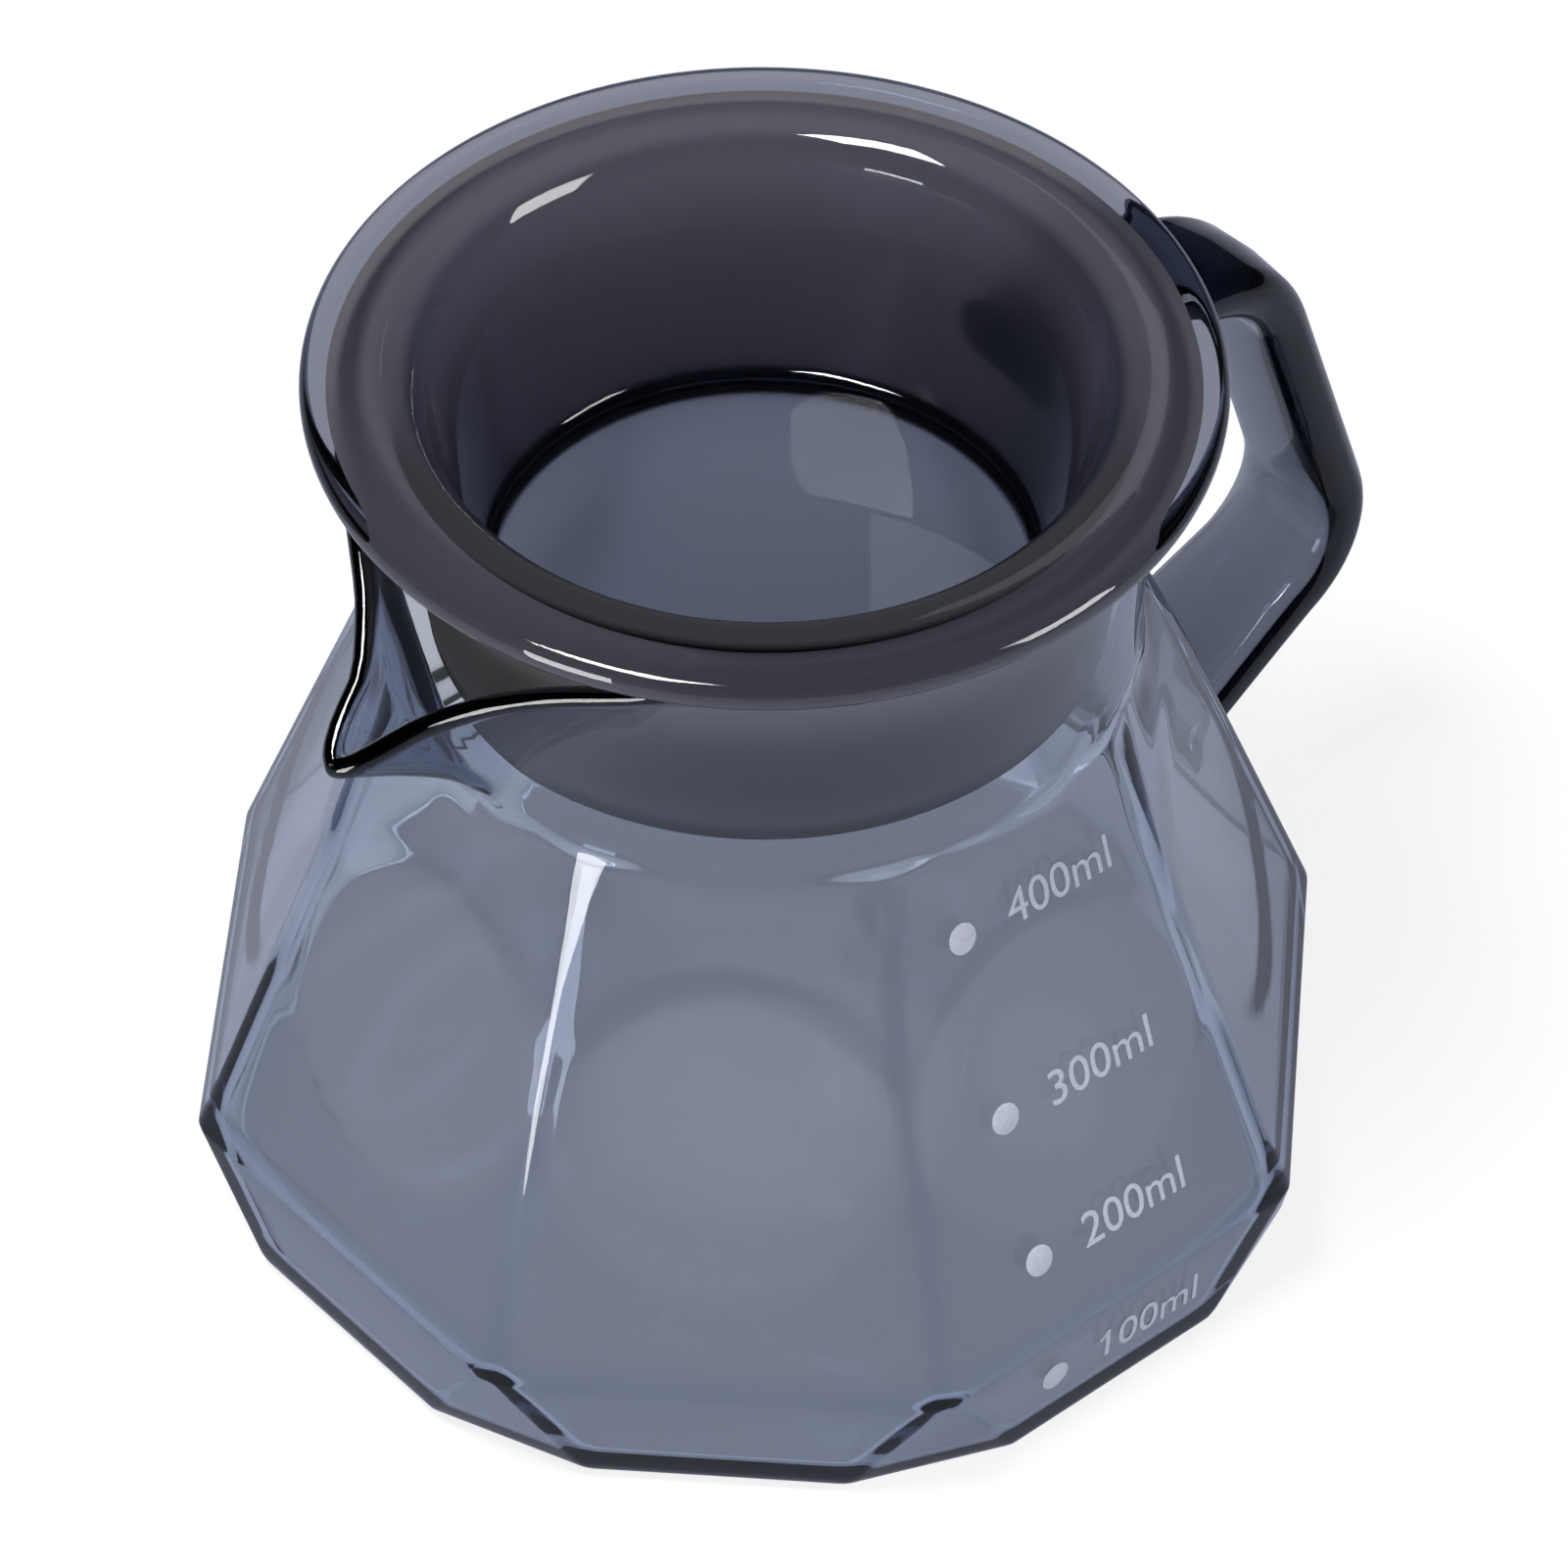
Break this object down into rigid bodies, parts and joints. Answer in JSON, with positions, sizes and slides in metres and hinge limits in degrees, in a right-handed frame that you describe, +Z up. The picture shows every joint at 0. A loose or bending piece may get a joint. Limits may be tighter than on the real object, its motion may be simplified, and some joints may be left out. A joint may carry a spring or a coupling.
{
  "type": "coffee server carafe",
  "caption": "Faceted smoked-glass coffee server with a pinched pouring spout, a fused strap handle, a lift-out glass stopper lid and fired volume marks.",
  "frame": {"origin": "middle of the flat foot, on the table", "axes": "+Z up along the vessel's axis, +X towards the handle, -X towards the spout, -Y towards the facet with the volume marks"},
  "size_m": [0.1314, 0.1095, 0.1004],
  "materials": {
    "smoked_glass": "clear, fire-polished, bluish grey",
    "white_enamel": "fired enamel print, satin"
  },
  "bodies": {
    "carafe": {"vessel": "smoked_glass", "foot": "smoked_glass", "handle": "smoked_glass", "dot_100ml": "white_enamel", "dot_200ml": "white_enamel", "dot_300ml": "white_enamel", "dot_400ml": "white_enamel", "label_100ml": "white_enamel", "label_200ml": "white_enamel", "label_300ml": "white_enamel", "label_400ml": "white_enamel"},
    "lid": {"lid": "smoked_glass"}
  },
  "joints": [
    {"name": "lid_lift", "type": "slide", "parent": "carafe", "child": "lid", "axis": [0, 0, 1], "range_m": [0, 0.045]}
  ]
}
